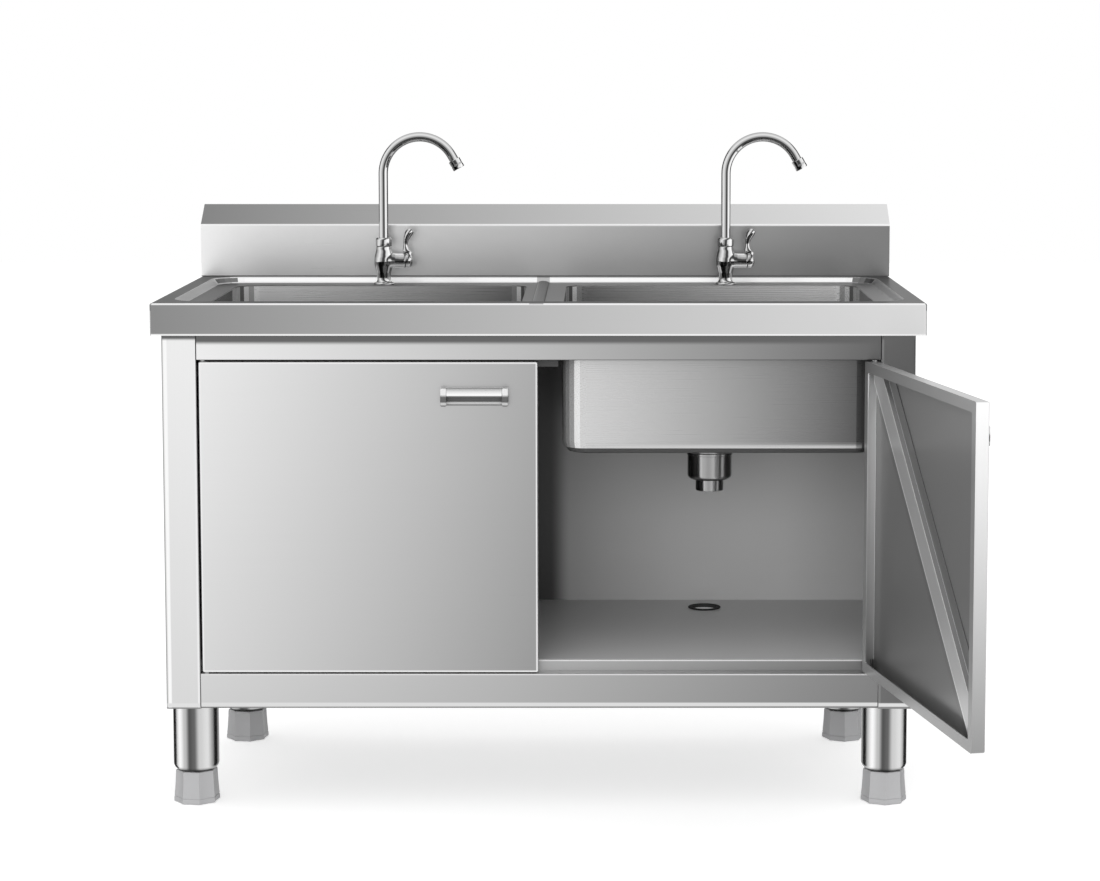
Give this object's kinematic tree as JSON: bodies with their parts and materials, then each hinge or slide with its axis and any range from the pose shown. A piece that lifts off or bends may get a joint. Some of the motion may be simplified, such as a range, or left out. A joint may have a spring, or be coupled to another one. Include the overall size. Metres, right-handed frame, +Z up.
{
  "type": "kitchen sink unit",
  "caption": "Free-standing steel kitchen sink unit with two deep bowls, swan-neck taps, a splashback and a hinged-door cabinet on adjustable feet.",
  "frame": {"origin": "on the floor, under the middle of the box around the whole unit as it rests with its right door open by 101 degrees; the worktop's own middle is 17.6 mm to the left of the origin, and its front edge 53.7 mm in front of it", "axes": "+X across the unit to its right as seen from the front, +Y from the front to the back, +Z up"},
  "size_m": [1.2352, 1.0926, 1.0519],
  "materials": {
    "satin_steel": "satin",
    "inner_steel": "dull satin",
    "polished_steel": "polished",
    "chrome": "mirror",
    "grey_plastic": "matt",
    "dark_plastic": "matt",
    "black_rubber": "matt"
  },
  "bodies": {
    "cabinet": {"back_panel": "inner_steel", "bottom_rail": "satin_steel", "bottom_shelf": "inner_steel", "bowl_left": "satin_steel", "bowl_right": "satin_steel", "deck_brace": "inner_steel", "door_catch": "dark_plastic", "drain_cup_left": "polished_steel", "drain_cup_right": "polished_steel", "drain_nut_left": "polished_steel", "drain_nut_right": "polished_steel", "drain_outlet_left": "polished_steel", "drain_outlet_right": "polished_steel", "drain_seal_left": "black_rubber", "drain_seal_right": "black_rubber", "hinge_pin_lower_left": "polished_steel", "hinge_pin_lower_right": "polished_steel", "hinge_pin_upper_left": "polished_steel", "hinge_pin_upper_right": "polished_steel", "leg_front_left": "polished_steel", "leg_front_right": "polished_steel", "leg_rear_left": "polished_steel", "leg_rear_right": "polished_steel", "pipe_grommet_left": "black_rubber", "pipe_grommet_right": "black_rubber", "side_panel_left": "satin_steel", "side_panel_right": "satin_steel", "sink_deck": "satin_steel", "splashback": "satin_steel", "strainer_flange_left": "polished_steel", "strainer_flange_right": "polished_steel", "tap_body_left": "chrome", "tap_body_right": "chrome", "tap_collar_left": "chrome", "tap_collar_right": "chrome", "tap_nut_left": "polished_steel", "tap_nut_right": "polished_steel", "top_rail": "satin_steel"},
    "door_left": {"door_left": "satin_steel", "door_brace_left": "inner_steel", "handle_bracket_left": "dark_plastic", "handle_grip_left": "polished_steel"},
    "spout_left": {"spout_left": "chrome", "aerator_left": "chrome"},
    "lever_left": {"tap_lever_left": "chrome"},
    "basket_left": {"strainer_basket_left": "polished_steel"},
    "foot_front_left": {"foot_front_left": "grey_plastic"},
    "foot_rear_left": {"foot_rear_left": "grey_plastic"},
    "door_right": {"door_right": "satin_steel", "door_brace_right": "inner_steel", "handle_bracket_right": "dark_plastic", "handle_grip_right": "polished_steel"},
    "spout_right": {"spout_right": "chrome", "aerator_right": "chrome"},
    "lever_right": {"tap_lever_right": "chrome"},
    "basket_right": {"strainer_basket_right": "polished_steel"},
    "foot_front_right": {"foot_front_right": "grey_plastic"},
    "foot_rear_right": {"foot_rear_right": "grey_plastic"}
  },
  "joints": [
    {"name": "door_left_hinge", "type": "hinge", "parent": "cabinet", "child": "door_left", "pos_m": [-0.53961, -0.0327, 0.463], "axis": [0, 0, -1], "range_deg": [0, 110]},
    {"name": "door_right_hinge", "type": "hinge", "parent": "cabinet", "child": "door_right", "pos_m": [0.50439, -0.0327, 0.463], "axis": [0, 0, 1], "range_deg": [-101, 9]},
    {"name": "spout_left_swivel", "type": "hinge", "parent": "cabinet", "child": "spout_left", "pos_m": [-0.29511, 0.4473, 0.863], "axis": [0, 0, 1], "continuous": true},
    {"name": "lever_left_turn", "type": "hinge", "parent": "cabinet", "child": "lever_left", "pos_m": [-0.25211, 0.4473, 0.831], "axis": [1, 0, 0], "range_deg": [0, 90]},
    {"name": "basket_left_lift", "type": "slide", "parent": "cabinet", "child": "basket_left", "axis": [0, 0, 1], "range_m": [0, 0.06]},
    {"name": "spout_right_swivel", "type": "hinge", "parent": "cabinet", "child": "spout_right", "pos_m": [0.29439, 0.4473, 0.863], "axis": [0, 0, 1], "continuous": true},
    {"name": "lever_right_turn", "type": "hinge", "parent": "cabinet", "child": "lever_right", "pos_m": [0.33739, 0.4473, 0.831], "axis": [1, 0, 0], "range_deg": [0, 90]},
    {"name": "basket_right_lift", "type": "slide", "parent": "cabinet", "child": "basket_right", "axis": [0, 0, 1], "range_m": [0, 0.06]},
    {"name": "foot_front_left_screw", "type": "slide", "parent": "cabinet", "child": "foot_front_left", "axis": [0, 0, -1], "range_m": [0, 0.02]},
    {"name": "foot_front_right_screw", "type": "slide", "parent": "cabinet", "child": "foot_front_right", "axis": [0, 0, -1], "range_m": [0, 0.02]},
    {"name": "foot_rear_left_screw", "type": "slide", "parent": "cabinet", "child": "foot_rear_left", "axis": [0, 0, -1], "range_m": [0, 0.02]},
    {"name": "foot_rear_right_screw", "type": "slide", "parent": "cabinet", "child": "foot_rear_right", "axis": [0, 0, -1], "range_m": [0, 0.02]}
  ]
}
